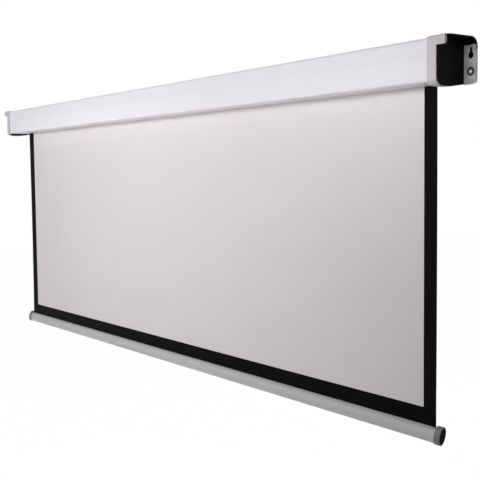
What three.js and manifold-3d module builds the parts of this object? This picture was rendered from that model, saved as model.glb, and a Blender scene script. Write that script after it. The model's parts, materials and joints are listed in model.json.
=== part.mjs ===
// Motorized projection screen that hangs on a wall, partly lowered.
// Millimetres. X runs along the screen, Y points into the wall, Z points up.
// The origin is on the housing's flat back, midway along it.

import * as THREE from 'three';
import { mergeVertices } from 'three/addons/utils/BufferGeometryUtils.js';
import Module from 'manifold-3d';

const wasm = await Module();
wasm.setup();

// Clearances
const seatGap = 0.3;
const overrun = 1;

// Screen surface
const imageWidth = 1860;
const imageShown = 608.8;
const sideBorder = 31;
const bottomBorder = 34.1;
const fabricThickness = 0.5;
const fabricFromWall = 17.3;
const housingOverhang = 47;

// Housing extrusion
const housingHeight = 79;
const housingBottomDrop = 40.5;
const housingDepth = 77.5;
const housingWall = 1.8;
const housingTopRadius = 5.5;
const housingBottomRadius = 4.5;
const housingBackRadius = 2.2;
const slotWidth = 14;
const slotLipRadius = 1.5;
const stripBelowTop = 24.5;
const stripHeight = 7.8;
const stripDepth = 0.4;

// Screw ports of the housing and the screws in them
const portInset = 6;
const rearPortInset = 14;
const portRadius = 4.6;
const portBore = 2.1;
const lowPortDrop = 20;
const screwHeadRadius = 3.4;
const screwHeadHeight = 2.6;
const screwLength = 18;

// White end trims
const trimLap = 16;
const trimProud = 1.5;
const trimTopRise = 2;
const trimRampLength = 10;
const trimRampHeight = 1.2;
const trimBottomDrop = 6;
const trimTopRadius = 4;
const trimBottomRadius = 12;
const trimWall = 2;
const trimEdgeRoundLength = 4;
const trimEdgeRoundDepth = 1;
const trimFootLength = 13;
const trimBackInset = 2;
const bottomBowDrop = 1.5;
const bottomBowRadius = 160;
const bottomBowFromWall = 40;
const backBottomRise = 4.5;

// Top tab of the trim, over the wall hanger
const tabLength = 20.5;
const tabHeight = 17.3;
const tabThickness = 5.5;
const tabCornerRadius = 4;
const tabInnerRadius = 1.2;

// Black end plates with their hoods
const plateThickness = 4.7;
const plateFrontInset = 2.2;
const plateBottomRadius = 16;
const plateFrontRadius = 3;
const hoodDrop = 0.7;
const hoodLength = 27;
const hoodWall = 3;
const hoodBackRadius = 16.5;
const hoodSkirt = 5;
const hoodNotchRoom = 1;
const counterboreDepth = 3.2;
const ribDepth = 10;
const ribThickness = 2.2;
const ribCornerStay = 8;

// Wall hangers
const hangerThickness = 1.5;
const hangerStandoff = 4;
const hangerBottom = 44;
const hangerCornerRadius = 7;
const hangerTopRadius = 2;
const hangerLipLift = 2.5;
const keyholeFromPlate = 15.7;
const keyholeZ = 8;
const keyholeRadius = 6.25;
const keyholeSlotWidth = 6;
const keyholeSlotTop = 23;
const levelScrewFromPlate = 16.6;
const levelScrewDrop = 21;
const bushFlangeRadius = 8;
const bushFlangeThickness = 2;
const bushBodyRadius = 4.5;
const levelScrewRadius = 2.5;
const levelHeadRadius = 4.3;
const levelHeadHeight = 2.6;

// Roller
const rollerRise = 8;
const tubeRadius = 22.5;
const tubeWall = 1.5;
const tubeLeftInset = 43.3;
const tubeRightInset = 23.3;
const windingThickness = 1;
const keyGrooveWidth = 3;
const keyGrooveDepth = 1.2;
const keyRibWidth = 6;
const keyRibHeight = 2;
const collarWidth = 2.7;
const sleeveLength = 20;

// Tubular motor
const motorRadius = 17.5;
const motorLength = 462.7;
const motorGrooveWidth = 3;
const motorGrooveDepth = 0.8;
const motorGrooveShares = [0.06, 0.46, 0.72, 0.94];
const motorHeadRadius = 22;
const motorHeadFlat = 19;
const motorStudSide = 10;
const shaftRadius = 5;
const shaftSeatDepth = 8;
const wheelWidth = 20;
const wheelFromMotor = 5;
const wheelHoleRadius = 4.2;
const wheelHoleCount = 6;
const bracketThickness = 2.5;
const bracketSide = 50;
const bracketCornerRadius = 9;

// Limit screws under the motor head
const limitScrewInset = 27;
const limitScrewSpacing = 13;
const limitScrewRadius = 3;
const limitScrewLength = 9.5;
const limitScrewProud = 1.5;
const limitSocketRadius = 1.4;
const limitSocketDepth = 3;
const accessLength = 24;
const accessWidth = 9;

// Idler end
const idlerSleeveLength = 45;
const idlerCoreRadius = 16;
const idlerCoreLength = 30;
const bearingRadius = 13;
const bearingWidth = 8.7;
const pinRadius = 6;
const pinShoulderRadius = 8;
const pinTailRadius = 5;

// Bottom bar
const barHalfHeight = 14.4;
const barHalfDepth = 6.9;
const barLeanDegrees = 17.4;
const barWall = 1.5;
const barOverhang = 4;
const barSlotWidth = 3;
const barSlotDepth = 4;
const splineRadius = 2;
const splineNeck = 1.2;
const splineDrop = 5;
const splineInset = 10;
const ballastSideGap = 0.8;
const ballastBottomGap = 0.9;
const ballastHeadroom = 4.4;
const ballastInset = 27;
const capRimHeight = 3.5;
const capRimDepth = 1.5;
const capLift = 1.9;
const capLength = 15;
const capEdge = 1;
const capSpigotLength = 13;
const plugRimHeight = 2.5;
const plugRimDepth = 1.3;
const plugDepth = 3;
const plugProud = 0.3;
const plugStemRadius = 3;
const plugStemLength = 8;

// Receiver and wiring
const receiverInset = 108;
const receiverLength = 140;
const receiverFront = 66.4;
const receiverWidth = 38;
const receiverHeight = 18;
const receiverWall = 1.6;
const boardInset = 3;
const boardThickness = 1.6;
const terminalLength = 34;
const terminalWidth = 15;
const terminalHeight = 9;
const terminalWayCount = 4;
const terminalWayRadius = 1.6;
const terminalWayDepth = 5;
const capacitorLength = 45;
const capacitorRadius = 6;
const capacitorFromStart = 60;
const leadRadius = 2.5;
const leadInset = 11;
const leadSideStep = 10;
const leadPlugDepth = 5;
const leadDrop = 12;
const leadFloorRise = 6.8;
const leadSwing = 5;
const leadBend = 15;
const glandFromWall = 60;
const glandDrop = 29;
const glandRadius = 7;
const glandFlangeRadius = 9;
const glandFlangeThickness = 2.5;
const glandLength = 9;
const glandBore = 3.5;

// Facets
const arcSteps = 3;
const roundSteps = 10;
const fineSides = 36;
const plainSides = 24;
const smallSides = 12;

// Places worked out from the sizes above
const fabricY = -fabricFromWall;
const fabricHalf = imageWidth / 2 + sideBorder;
const housingHalf = fabricHalf + housingOverhang;
const housingBottom = -housingBottomDrop;
const housingTop = housingBottom + housingHeight;
const windingRadius = tubeRadius + seatGap + windingThickness;
const rollerY = fabricY - fabricThickness / 2 - seatGap - windingRadius;
const rollerZ = rollerRise;
const imageBottom = housingBottom - imageShown;
const barTop = imageBottom - bottomBorder;
const barLean = THREE.MathUtils.degToRad(barLeanDegrees);
const barRise = Math.hypot(barHalfHeight * Math.cos(barLean), barHalfDepth * Math.sin(barLean));
const barLeanArea = (barHalfHeight ** 2 - barHalfDepth ** 2) * Math.sin(barLean) * Math.cos(barLean);
const barY = fabricY - barLeanArea / barRise;
const barZ = barTop - barRise;
const barHalfLength = fabricHalf + barOverhang;
const trimStart = housingHalf - trimLap;
const trimFront = -housingDepth - trimProud;
const trimTop = housingTop + trimTopRise;
const trimBottom = housingBottom - trimBottomDrop;
const plateFront = trimFront + plateFrontInset;
const plateInner = housingHalf + seatGap;
const plateOuter = plateInner + plateThickness;
const tabEnd = plateOuter + tabLength;
const hoodEnd = plateOuter + hoodLength;
const hoodTop = trimTop - hoodDrop;
const hoodBendZ = hoodTop - hoodBackRadius;
const hangerFront = -hangerStandoff - hangerThickness;
const keyholeX = plateOuter + keyholeFromPlate;
const levelScrewX = plateOuter + levelScrewFromPlate;
const tubeLeftEnd = housingHalf - tubeLeftInset;
const tubeRightEnd = housingHalf - tubeRightInset;
const limitScrewX = housingHalf - limitScrewInset;
const leadStartX = housingHalf - leadInset;
const receiverStart = housingHalf - receiverInset;
const bracketInner = plateInner - seatGap - bracketThickness;
const motorHeadStart = bracketInner - seatGap;
const collarStart = tubeLeftEnd + seatGap + collarWidth;
const motorHeadEnd = collarStart + seatGap;
const motorRightEnd = motorHeadEnd - seatGap - motorLength;
const sleeveRadius = tubeRadius - tubeWall - seatGap;
const floorTop = housingBottom + housingWall;
const receiverBottom = floorTop + seatGap;
const leadRunZ = floorTop + leadFloorRise;
const leadRunY = rollerY - leadSideStep;

// Colours and finishes
const finishes = {
  whitePaint: { color: 0xe6e4e5, roughness: 0.42, metalness: 0 },
  whitePlastic: { color: 0xd2d0ce, roughness: 0.38, metalness: 0 },
  blackPlastic: { color: 0x16161a, roughness: 0.35, metalness: 0 },
  greyPlastic: { color: 0x6c6a6d, roughness: 0.45, metalness: 0 },
  whiteFabric: { color: 0xded9da, roughness: 0.9, metalness: 0 },
  blackFabric: { color: 0x1c1a1c, roughness: 0.9, metalness: 0 },
  zincSteel: { color: 0x9a9c98, roughness: 0.36, metalness: 0.9 },
  brightSteel: { color: 0xc8c8c8, roughness: 0.25, metalness: 1 },
  aluminium: { color: 0xbdbdc0, roughness: 0.35, metalness: 0.9 },
  greenBoard: { color: 0x1f5a3a, roughness: 0.5, metalness: 0 },
};

// Solids from three.js geometry, with shared corners merged and faces pointing out
function solid(geometry) {
  const bare = new THREE.BufferGeometry();
  bare.setAttribute('position', geometry.getAttribute('position'));
  if (geometry.index) bare.setIndex(geometry.index);
  const merged = mergeVertices(bare);
  const points = merged.getAttribute('position');
  const index = merged.index.array;
  const faces = [];
  let volume = 0;
  const [a, b, c] = [new THREE.Vector3(), new THREE.Vector3(), new THREE.Vector3()];
  for (let i = 0; i < index.length; i += 3) {
    const corners = [index[i], index[i + 1], index[i + 2]];
    if (new Set(corners).size < 3) continue;
    [a, b, c].forEach((corner, k) => corner.fromBufferAttribute(points, corners[k]));
    volume += a.dot(b.cross(c));
    faces.push(corners);
  }
  if (volume < 0) faces.forEach((corners) => corners.reverse());
  return new wasm.Manifold(new wasm.Mesh({
    numProp: 3,
    vertProperties: new Float32Array(points.array),
    triVerts: new Uint32Array(faces.flat()),
  }));
}

function surface(body) {
  const mesh = body.getMesh();
  const geometry = new THREE.BufferGeometry();
  geometry.setAttribute('position', new THREE.BufferAttribute(mesh.vertProperties, 3));
  geometry.setIndex(new THREE.BufferAttribute(mesh.triVerts, 1));
  geometry.computeVertexNormals();
  return geometry;
}

function cut(body, ...tools) {
  return tools.reduce((rest, tool) => rest.subtract(tool), body);
}

function join(first, ...others) {
  return others.reduce((all, other) => all.add(other), first);
}

// The same body on the other end of the screen
function mirrored(body) {
  return solid(surface(body).scale(-1, 1, 1));
}

// A closed outline through corners given as [across, up, radius]
function outline(corners) {
  const shape = new THREE.Shape();
  corners.forEach(([x, y, radius = 0], i) => {
    const corner = new THREE.Vector2(x, y);
    const [beforeX, beforeY] = corners[(i + corners.length - 1) % corners.length];
    const [afterX, afterY] = corners[(i + 1) % corners.length];
    const back = new THREE.Vector2(beforeX, beforeY).sub(corner).normalize();
    const ahead = new THREE.Vector2(afterX, afterY).sub(corner).normalize();
    const half = Math.acos(THREE.MathUtils.clamp(back.dot(ahead), -1, 1)) / 2;
    const start = corner.clone().addScaledVector(back, radius / Math.tan(half));
    if (i === 0) shape.moveTo(start.x, start.y);
    else shape.lineTo(start.x, start.y);
    if (radius === 0) return;
    const end = corner.clone().addScaledVector(ahead, radius / Math.tan(half));
    const middle = back.clone().add(ahead).normalize();
    const centre = corner.clone().addScaledVector(middle, radius / Math.sin(half));
    const from = start.sub(centre).angle();
    const to = end.sub(centre).angle();
    shape.absarc(centre.x, centre.y, radius, from, to, back.cross(ahead) > 0);
  });
  shape.closePath();
  return shape;
}

function circle(x, y, radius) {
  return new THREE.Shape().absarc(x, y, radius, 0, 2 * Math.PI);
}

// A slot outline with round ends, from one centre up to another
function stadium(x, low, high, width) {
  const radius = width / 2;
  return outline([
    [x - radius, low - radius, radius],
    [x + radius, low - radius, radius],
    [x + radius, high + radius, radius],
    [x - radius, high + radius, radius],
  ]);
}

const sectionAcrossX = new THREE.Matrix4().makeBasis(
  new THREE.Vector3(0, 1, 0),
  new THREE.Vector3(0, 0, 1),
  new THREE.Vector3(1, 0, 0),
);

const elevationAcrossY = new THREE.Matrix4().makeBasis(
  new THREE.Vector3(1, 0, 0),
  new THREE.Vector3(0, 0, 1),
  new THREE.Vector3(0, -1, 0),
);

function extruded(shape, depth, curveSegments) {
  return new THREE.ExtrudeGeometry(shape, { depth, curveSegments, bevelEnabled: false });
}

// A (Y, Z) outline swept along X
function alongX(shape, from, to, steps = arcSteps) {
  return solid(extruded(shape, to - from, steps).applyMatrix4(sectionAcrossX).translate(from, 0, 0));
}

// An (X, Z) outline swept along Y
function alongY(shape, from, to, steps = arcSteps) {
  return solid(extruded(shape, to - from, steps).applyMatrix4(elevationAcrossY).translate(0, to, 0));
}

// An (X, Y) outline swept along Z
function alongZ(shape, from, to, steps = arcSteps) {
  return solid(extruded(shape, to - from, steps).translate(0, 0, from));
}

function block([x0, x1], [y0, y1], [z0, z1]) {
  const geometry = new THREE.BoxGeometry(x1 - x0, y1 - y0, z1 - z0);
  return solid(geometry.translate((x0 + x1) / 2, (y0 + y1) / 2, (z0 + z1) / 2));
}

// A body of revolution about a line along X, from points [x, radius]
function turned(profile, y, z, sides = plainSides) {
  const points = profile.map(([x, radius]) => new THREE.Vector2(radius, x));
  return solid(new THREE.LatheGeometry(points, sides).rotateZ(-Math.PI / 2).translate(0, y, z));
}

// A body of revolution about a line along Y, from points [y, radius]
function turnedAcross(profile, x, z, sides = smallSides) {
  const points = profile.map(([y, radius]) => new THREE.Vector2(radius, y));
  return solid(new THREE.LatheGeometry(points, sides).translate(x, 0, z));
}

function rod(radius, from, to, y, z, sides = plainSides) {
  return turned([[from, 0], [from, radius], [to, radius], [to, 0]], y, z, sides);
}

function ring(outer, inner, from, to, y, z, sides = fineSides) {
  return turned([[from, inner], [from, outer], [to, outer], [to, inner], [from, inner]], y, z, sides);
}

// Housing: a thin extrusion with a fabric slot, screw ports and a shallow strip on its front
function housingOutline(inset) {
  const radius = (outer) => Math.max(outer - inset, seatGap);
  return outline([
    [-housingDepth + inset, housingBottom + inset, radius(housingBottomRadius)],
    [-inset, housingBottom + inset, radius(housingBackRadius)],
    [-inset, housingTop - inset, radius(housingBackRadius)],
    [-housingDepth + inset, housingTop - inset, radius(housingTopRadius)],
  ]);
}

const portPlaces = [
  [-housingDepth + portInset, housingTop - portInset],
  [-rearPortInset, housingTop - portInset],
  [-housingDepth + portInset, -lowPortDrop],
  [-portInset, -lowPortDrop],
];

function housing() {
  const ends = [-housingHalf, housingHalf];
  const past = [-housingHalf - overrun, housingHalf + overrun];
  const slotFront = fabricY - slotWidth / 2;
  const slotBack = fabricY + slotWidth / 2;
  const lipZ = housingBottom + slotLipRadius;
  const lips = [slotFront - slotLipRadius, slotBack + slotLipRadius]
    .map((y) => rod(slotLipRadius, ...ends, y, lipZ, smallSides));
  const ports = portPlaces.map(([y, z]) => rod(portRadius, ...ends, y, z, smallSides));
  const bores = portPlaces.map(([y, z]) => rod(portBore, ...past, y, z, smallSides));
  const shell = cut(alongX(housingOutline(0), ...ends), alongX(housingOutline(housingWall), ...past));
  const slot = block(past, [slotFront, slotBack], [housingBottom - overrun, floorTop + overrun]);
  const strip = block(
    past,
    [-housingDepth - overrun, -housingDepth + stripDepth],
    [housingTop - stripBelowTop - stripHeight, housingTop - stripBelowTop],
  );
  const accessHalf = (accessLength - accessWidth) / 2;
  const access = alongZ(
    stadium(-limitScrewX, rollerY - accessHalf, rollerY + accessHalf, accessWidth),
    housingBottom - overrun,
    floorTop + overrun,
  );
  const open = cut(shell, slot);
  return cut(join(open, ...lips, ...ports), ...bores, strip, access);
}

// Outline of an end seen from the side: flat front, bowed bottom, flat back on the wall
function endOutline(front, top, bottomRadius, topRadius, backRadius, inset) {
  return outline([
    [front + inset, trimBottom + inset, bottomRadius - inset],
    [-bottomBowFromWall, trimBottom - bottomBowDrop + inset, bottomBowRadius],
    [-inset, trimBottom + backBottomRise + inset, 0],
    [-inset, top - inset, backRadius],
    [front + inset, top - inset, topRadius],
  ]);
}

function trimOutline(inset) {
  return endOutline(trimFront, trimTop, trimBottomRadius, trimTopRadius - inset, 0, inset);
}

function plateOutline(grow) {
  return endOutline(
    plateFront,
    hoodTop,
    plateBottomRadius,
    plateFrontRadius + grow,
    hoodBackRadius + grow,
    -grow,
  );
}

// The trim wraps the housing's end: a ramp up to its top, a rounded outer edge
// on the front and a tab that reaches out over the wall hanger
function endTrim() {
  const high = trimTop + trimBottomDrop;
  const low = trimBottom - trimBottomDrop;
  const tabBottom = trimTop - tabHeight;
  const back = [trimFront - overrun, overrun];
  const silhouette = outline([
    [trimStart, low],
    [plateOuter, low],
    [plateOuter, tabBottom, tabInnerRadius],
    [tabEnd, tabBottom, tabCornerRadius],
    [tabEnd, high],
    [trimStart + trimRampLength, high],
    [trimStart + trimRampLength, trimTop],
    [trimStart, trimTop - trimRampHeight],
  ]);
  const whole = alongX(trimOutline(0), trimStart, tabEnd).intersect(alongY(silhouette, ...back));
  const edge = new THREE.Shape();
  edge.moveTo(plateOuter - trimEdgeRoundLength, trimFront);
  edge.absellipse(
    plateOuter - trimEdgeRoundLength,
    trimFront + trimEdgeRoundDepth,
    trimEdgeRoundLength,
    trimEdgeRoundDepth,
    -Math.PI / 2,
    0,
    false,
  );
  edge.lineTo(plateOuter + overrun, trimFront + trimEdgeRoundDepth);
  edge.lineTo(plateOuter + overrun, trimFront - overrun);
  edge.lineTo(plateOuter - trimEdgeRoundLength, trimFront - overrun);
  edge.closePath();
  const tabBack = trimFront + tabThickness;
  const footBack = trimFront + trimFootLength;
  return cut(
    whole,
    alongX(housingOutline(-seatGap), trimStart - overrun, plateInner),
    alongX(trimOutline(trimWall), trimStart + trimWall, plateInner),
    block([trimStart - overrun, tabEnd + overrun], [-trimBackInset, overrun], [low, high]),
    block([plateInner - overrun, tabEnd + overrun], [footBack, overrun], [low, high]),
    alongX(plateOutline(seatGap), plateInner - overrun, plateOuter),
    block([plateOuter, tabEnd + overrun], [tabBack, overrun], [low, high]),
    block([plateInner - overrun, plateOuter + overrun], [tabBack, overrun], [tabBottom, high]),
    block([plateInner - overrun, plateOuter + overrun], [plateFront - seatGap, overrun], [0, high]),
    alongZ(edge, low, tabBottom - tabInnerRadius),
  );
}

// The end plate closes the housing and carries a hood that curves down to the wall
function endPlate() {
  const plate = alongX(plateOutline(0), plateInner, plateOuter, 2 * arcSteps);
  const hoodInside = outline([
    [plateFront - overrun, trimBottom - trimBottomDrop],
    [-hoodWall, trimBottom - trimBottomDrop],
    [-hoodWall, hoodTop - hoodWall, hoodBackRadius - hoodWall],
    [plateFront - overrun, hoodTop - hoodWall],
  ]);
  const hoodPart = block(
    [plateOuter - overrun, hoodEnd],
    [trimFront + tabThickness + seatGap, overrun],
    [hoodBendZ - hoodSkirt, hoodTop + overrun],
  );
  const notchHalf = keyholeSlotWidth / 2 + hoodNotchRoom;
  const notch = block(
    [keyholeX - notchHalf, keyholeX + notchHalf],
    [-hoodWall - overrun, overrun],
    [hoodBendZ - hoodSkirt - overrun, keyholeSlotTop + hoodNotchRoom],
  );
  const hood = cut(
    alongX(plateOutline(0), plateOuter - overrun, hoodEnd, 2 * arcSteps).intersect(hoodPart),
    alongX(hoodInside, plateOuter, hoodEnd + overrun, 2 * arcSteps),
    notch,
  );
  const rimFront = -housingDepth + housingWall + seatGap;
  const rimBack = -housingWall - seatGap;
  const rimTop = housingTop - housingWall - seatGap;
  const rimBottom = floorTop + seatGap;
  const sideSpan = [-lowPortDrop + ribCornerStay, housingTop - portInset - ribCornerStay];
  const topSpan = [-housingDepth + portInset + ribCornerStay, -rearPortInset - ribCornerStay];
  const floorSpan = [rollerY - ribCornerStay, fabricY - slotWidth / 2 - ribThickness - slotLipRadius];
  const ribs = [
    [[rimFront, rimFront + ribThickness], sideSpan],
    [[rimBack - ribThickness, rimBack], sideSpan],
    [topSpan, [rimTop - ribThickness, rimTop]],
    [floorSpan, [rimBottom, rimBottom + ribThickness]],
  ].map(([acrossY, acrossZ]) => block([plateInner - ribDepth, plateInner + overrun], acrossY, acrossZ));
  const past = [plateInner - overrun, plateOuter + overrun];
  const holes = portPlaces.map(([y, z]) => rod(portBore, ...past, y, z, smallSides));
  const sinks = portPlaces.map(([y, z]) => rod(
    screwHeadRadius + seatGap,
    plateOuter - counterboreDepth,
    plateOuter + overrun,
    y,
    z,
    smallSides,
  ));
  return cut(join(plate, hood, ...ribs), ...holes, ...sinks);
}

function glandHole() {
  return rod(
    glandRadius + seatGap,
    plateInner - overrun,
    plateOuter + overrun,
    -glandFromWall,
    -glandDrop,
    plainSides,
  );
}

function endScrew(y, z) {
  const seat = plateOuter - counterboreDepth + seatGap;
  const tip = seat - screwLength;
  const shank = portBore - seatGap;
  const crown = seat + screwHeadHeight;
  return turned([
    [tip, 0],
    [tip, shank / 2],
    [tip + shank, shank],
    [seat, shank],
    [seat, screwHeadRadius],
    [(seat + crown) / 2, screwHeadRadius],
    [crown, screwHeadRadius / 2],
    [crown, 0],
  ], y, z, smallSides);
}

// The hanger's upper edge, under the inner bend of the hood
function hangerTop() {
  const bend = hoodBackRadius - hoodWall - 2 * seatGap;
  const across = hoodBackRadius - hangerStandoff;
  return hoodBendZ + Math.sqrt(Math.max(bend ** 2 - across ** 2, 0));
}

// The hanger is a shallow steel tray with a keyhole; its side rims stand on the wall
function hanger() {
  const start = plateOuter + seatGap;
  const rimLow = -hangerBottom + hangerLipLift;
  const rimHigh = hoodBendZ - hoodSkirt - seatGap;
  const faceOutline = (inset) => outline([
    [start + inset, -hangerBottom + inset],
    [hoodEnd - inset, -hangerBottom + inset, hangerCornerRadius - inset],
    [hoodEnd - inset, hangerTop() - inset, Math.max(hangerTopRadius - inset, 0)],
    [start + inset, hangerTop() - inset],
  ]);
  const past = [hangerFront - overrun, -hangerStandoff + overrun];
  const behind = [-hangerStandoff, overrun];
  const across = [start - overrun, hoodEnd + overrun];
  const slotEnd = keyholeSlotTop - keyholeSlotWidth / 2;
  return cut(
    alongY(faceOutline(0), hangerFront, 0),
    alongY(faceOutline(hangerThickness), ...behind),
    block(across, behind, [-hangerBottom - overrun, rimLow]),
    block(across, behind, [rimHigh, hoodTop]),
    alongY(circle(keyholeX, keyholeZ, keyholeRadius), ...past, roundSteps),
    alongY(stadium(keyholeX, keyholeZ, slotEnd, keyholeSlotWidth), ...past, 2 * arcSteps),
    alongY(circle(levelScrewX, -levelScrewDrop, bushBodyRadius + seatGap), ...past, roundSteps),
  );
}

// A flanged threaded bush in the hanger, and the levelling screw that bears on the wall
function levelBush() {
  const seat = hangerFront - seatGap;
  const bore = levelScrewRadius + seatGap;
  const face = seat - bushFlangeThickness;
  return turnedAcross([
    [face, bore],
    [face, bushFlangeRadius - bushFlangeThickness / 2],
    [face + bushFlangeThickness / 2, bushFlangeRadius],
    [seat, bushFlangeRadius],
    [seat, bushBodyRadius],
    [-hangerStandoff / 2, bushBodyRadius],
    [-hangerStandoff / 2, bore],
    [face, bore],
  ], levelScrewX, -levelScrewDrop, plainSides);
}

function levelScrew() {
  const seat = hangerFront - bushFlangeThickness - 2 * seatGap;
  const crown = seat - levelHeadHeight;
  return turnedAcross([
    [crown, 0],
    [crown, levelHeadRadius / 2],
    [(crown + seat) / 2, levelHeadRadius],
    [seat, levelHeadRadius],
    [seat, levelScrewRadius],
    [0, levelScrewRadius],
    [0, 0],
  ], levelScrewX, -levelScrewDrop, smallSides);
}

// Roller tube with a lengthwise key: a groove outside and a rib inside
function rollerTube() {
  const span = [-tubeLeftEnd, tubeRightEnd];
  const inner = tubeRadius - tubeWall;
  const rib = block(
    span,
    [rollerY - keyRibWidth / 2, rollerY + keyRibWidth / 2],
    [rollerZ + inner - keyRibHeight, rollerZ + tubeRadius - tubeWall / 2],
  );
  const groove = block(
    [-tubeLeftEnd - overrun, tubeRightEnd + overrun],
    [rollerY - keyGrooveWidth / 2, rollerY + keyGrooveWidth / 2],
    [rollerZ + tubeRadius - keyGrooveDepth, rollerZ + tubeRadius + overrun],
  );
  return cut(join(ring(tubeRadius, inner, ...span, rollerY, rollerZ), rib), groove);
}

// Clearance for the tube's inner rib in what fits inside the tube
function keyNotch(from, to) {
  return block(
    [from, to],
    [rollerY - keyRibWidth / 2 - seatGap, rollerY + keyRibWidth / 2 + seatGap],
    [rollerZ + tubeRadius - tubeWall - keyRibHeight - seatGap, rollerZ + tubeRadius],
  );
}

function limitCrown() {
  const collarEnd = -collarStart + collarWidth;
  const bore = motorRadius + seatGap;
  const body = join(
    ring(tubeRadius, bore, -collarStart, collarEnd, rollerY, rollerZ),
    ring(sleeveRadius, bore, collarEnd - overrun, collarEnd + sleeveLength, rollerY, rollerZ),
  );
  return cut(body, keyNotch(collarEnd, collarEnd + sleeveLength + overrun));
}

function motorBody() {
  const start = -motorHeadEnd + seatGap;
  const end = -motorRightEnd;
  const length = end - start;
  const grooves = motorGrooveShares.flatMap((share) => {
    const x = start + share * length;
    const bottom = motorRadius - motorGrooveDepth;
    return [
      [x, motorRadius],
      [x, bottom],
      [x + motorGrooveWidth, bottom],
      [x + motorGrooveWidth, motorRadius],
    ];
  });
  const bore = shaftRadius + seatGap;
  return turned([
    [start, 0],
    [start, motorRadius],
    ...grooves,
    [end, motorRadius],
    [end, bore],
    [end - shaftSeatDepth, bore],
    [end - shaftSeatDepth, 0],
  ], rollerY, rollerZ);
}

const limitScrewPlaces = [rollerY - limitScrewSpacing / 2, rollerY + limitScrewSpacing / 2];

// The motor's fixed head, with a square stud in the bracket and a flat for the limit screws
function motorHead() {
  const flatZ = rollerZ - motorHeadFlat;
  const head = rod(motorHeadRadius, -motorHeadStart, -motorHeadEnd, rollerY, rollerZ, fineSides);
  const half = motorStudSide / 2;
  const stud = block(
    [-motorHeadStart - bracketThickness - seatGap, -motorHeadStart + overrun],
    [rollerY - half, rollerY + half],
    [rollerZ - half, rollerZ + half],
  );
  const flat = block(
    [-motorHeadStart - overrun, -motorHeadEnd + overrun],
    [rollerY - motorHeadRadius, rollerY + motorHeadRadius],
    [rollerZ - motorHeadRadius - overrun, flatZ],
  );
  const depth = limitScrewLength - limitScrewProud + seatGap;
  const bores = limitScrewPlaces.map((y) => alongZ(
    circle(-limitScrewX, y, limitScrewRadius + seatGap),
    flatZ - overrun,
    flatZ + depth,
    roundSteps / 2,
  ));
  const leadBore = alongZ(
    circle(-leadStartX, leadRunY, leadRadius + seatGap),
    rollerZ - motorHeadRadius - overrun,
    flatZ + leadPlugDepth + seatGap,
    roundSteps / 2,
  );
  return cut(join(head, stud), flat, ...bores, leadBore);
}

function limitScrew(y) {
  const bottom = rollerZ - motorHeadFlat - limitScrewProud;
  const x = -limitScrewX;
  const body = alongZ(circle(x, y, limitScrewRadius), bottom, bottom + limitScrewLength, roundSteps / 2);
  const past = [bottom - overrun, bottom + limitSocketDepth];
  return cut(body, alongZ(circle(x, y, limitSocketRadius), ...past, arcSteps));
}

function bracket() {
  const half = bracketSide / 2;
  const shape = outline([
    [rollerY - half, rollerZ - half, bracketCornerRadius],
    [rollerY + half, rollerZ - half, bracketCornerRadius],
    [rollerY + half, rollerZ + half, bracketCornerRadius],
    [rollerY - half, rollerZ + half, bracketCornerRadius],
  ]);
  return alongX(shape, bracketInner, bracketInner + bracketThickness);
}

function motorBracket() {
  const half = motorStudSide / 2 + seatGap;
  const hole = block(
    [-bracketInner - bracketThickness - overrun, -bracketInner + overrun],
    [rollerY - half, rollerY + half],
    [rollerZ - half, rollerZ + half],
  );
  return cut(mirrored(bracket()), hole);
}

function idlerBracket() {
  const past = [bracketInner - overrun, bracketInner + bracketThickness + overrun];
  return cut(bracket(), rod(pinTailRadius + seatGap, ...past, rollerY, rollerZ));
}

function outputShaft() {
  const start = -motorRightEnd - shaftSeatDepth + seatGap;
  const end = -motorRightEnd + wheelFromMotor + wheelWidth + overrun;
  return rod(shaftRadius, start, end, rollerY, rollerZ, smallSides);
}

function driveWheel() {
  const start = -motorRightEnd + wheelFromMotor;
  const end = start + wheelWidth;
  const past = [start - overrun, end + overrun];
  const holeCircle = (sleeveRadius - keyRibHeight + shaftRadius) / 2;
  const holes = Array.from({ length: wheelHoleCount }, (_, i) => {
    const angle = (2 * Math.PI * i) / wheelHoleCount;
    const y = rollerY + holeCircle * Math.cos(angle);
    const z = rollerZ + holeCircle * Math.sin(angle);
    return rod(wheelHoleRadius, ...past, y, z, smallSides);
  });
  const disc = ring(sleeveRadius, shaftRadius + seatGap, start, end, rollerY, rollerZ);
  return cut(disc, keyNotch(...past), ...holes);
}

function idlerPlug() {
  const collar = tubeRightEnd + seatGap;
  const end = collar + collarWidth;
  const start = collar - idlerSleeveLength;
  const pocket = bearingRadius + seatGap;
  const pocketStart = end - bearingWidth - seatGap;
  const body = turned([
    [start + idlerCoreLength, pinShoulderRadius],
    [start + idlerCoreLength, idlerCoreRadius],
    [start, idlerCoreRadius],
    [start, sleeveRadius],
    [collar, sleeveRadius],
    [collar, tubeRadius],
    [end, tubeRadius],
    [end, pocket],
    [pocketStart, pocket],
    [pocketStart, pinShoulderRadius],
    [start + idlerCoreLength, pinShoulderRadius],
  ], rollerY, rollerZ);
  return cut(body, keyNotch(start - overrun, collar));
}

function idlerBearing() {
  const end = tubeRightEnd + seatGap + collarWidth;
  return ring(bearingRadius, pinRadius + seatGap, end - bearingWidth, end, rollerY, rollerZ, plainSides);
}

function idlerPin() {
  const shoulder = tubeRightEnd + collarWidth + 2 * seatGap;
  const start = shoulder - bearingWidth;
  const tail = bracketInner - seatGap;
  const end = bracketInner + bracketThickness;
  return turned([
    [start, 0],
    [start, pinRadius],
    [shoulder, pinRadius],
    [shoulder, pinShoulderRadius],
    [tail, pinShoulderRadius],
    [tail, pinTailRadius],
    [end, pinTailRadius],
    [end, 0],
  ], rollerY, rollerZ);
}

function fabricWinding() {
  return ring(windingRadius, tubeRadius + seatGap, -fabricHalf, fabricHalf, rollerY, rollerZ);
}

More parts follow.
